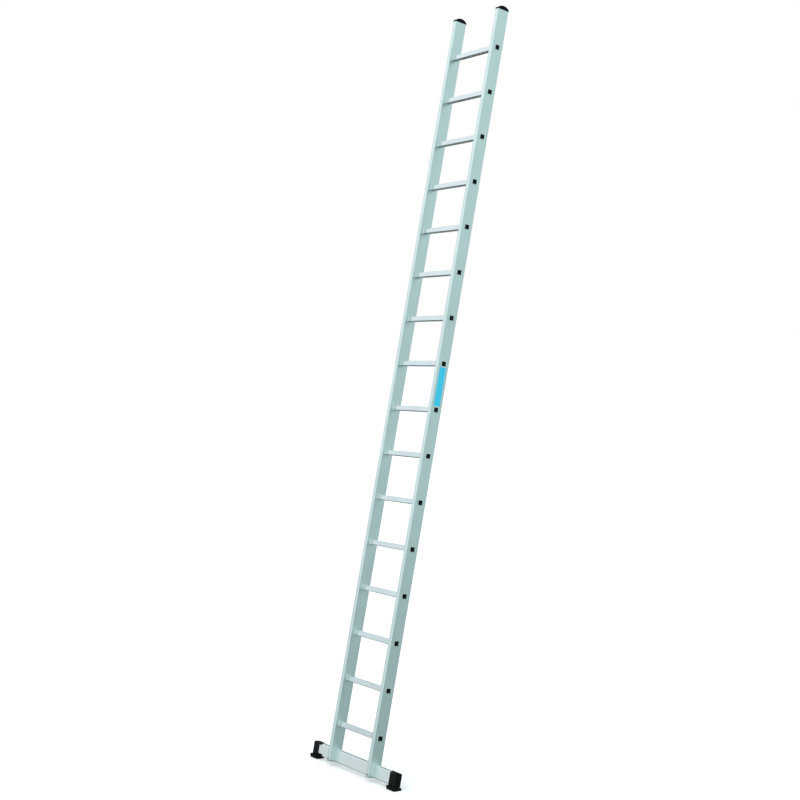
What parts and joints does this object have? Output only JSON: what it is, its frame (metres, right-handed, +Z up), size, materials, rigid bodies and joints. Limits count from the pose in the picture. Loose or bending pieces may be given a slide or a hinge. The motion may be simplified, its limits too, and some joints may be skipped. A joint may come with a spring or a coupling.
{
  "type": "leaning ladder",
  "caption": "Leaning rung ladder with rectangular hollow stiles, square rungs and a stabiliser crossbar on two black feet.",
  "frame": {"origin": "middle of the leaning ladder's footprint box, on the floor", "axes": "+X along the rungs to the labelled stile, +Y towards the wall that it leans on, +Z up"},
  "size_m": [0.974, 1.054, 4.6138],
  "materials": {
    "stile_aluminium": "satin anodised extrusion",
    "rung_aluminium": "satin anodised extrusion",
    "crossbar_aluminium": "satin anodised extrusion",
    "black_plastic": "moulded, fine texture",
    "foot_plastic": "moulded, fine texture",
    "sole_rubber": "moulded, matte",
    "zinc_steel": "zinc plated",
    "label_film": "printed film"
  },
  "bodies": {
    "root": {"stile_left": "stile_aluminium", "stile_right": "stile_aluminium", "crossbar": "crossbar_aluminium", "rung_01": "rung_aluminium", "rung_02": "rung_aluminium", "rung_03": "rung_aluminium", "rung_04": "rung_aluminium", "rung_05": "rung_aluminium", "rung_06": "rung_aluminium", "rung_07": "rung_aluminium", "rung_08": "rung_aluminium", "rung_09": "rung_aluminium", "rung_10": "rung_aluminium", "rung_11": "rung_aluminium", "rung_12": "rung_aluminium", "rung_13": "rung_aluminium", "rung_14": "rung_aluminium", "rung_15": "rung_aluminium", "rung_16": "rung_aluminium", "rung_plugs_01": "black_plastic", "rung_plugs_02": "black_plastic", "rung_plugs_03": "black_plastic", "rung_plugs_04": "black_plastic", "rung_plugs_05": "black_plastic", "rung_plugs_06": "black_plastic", "rung_plugs_07": "black_plastic", "rung_plugs_08": "black_plastic", "rung_plugs_09": "black_plastic", "rung_plugs_10": "black_plastic", "rung_plugs_11": "black_plastic", "rung_plugs_12": "black_plastic", "rung_plugs_13": "black_plastic", "rung_plugs_14": "black_plastic", "rung_plugs_15": "black_plastic", "rung_plugs_16": "black_plastic", "top_cap_left": "black_plastic", "top_cap_right": "black_plastic", "stile_end_plug_left": "black_plastic", "stile_end_plug_right": "black_plastic", "foot_shell_left": "foot_plastic", "foot_shell_right": "foot_plastic", "sole_pad_left": "sole_rubber", "sole_pad_right": "sole_rubber", "crossbar_bolts": "zinc_steel", "crossbar_washers": "zinc_steel", "crossbar_nuts": "zinc_steel", "label": "label_film"}
  },
  "joints": []
}
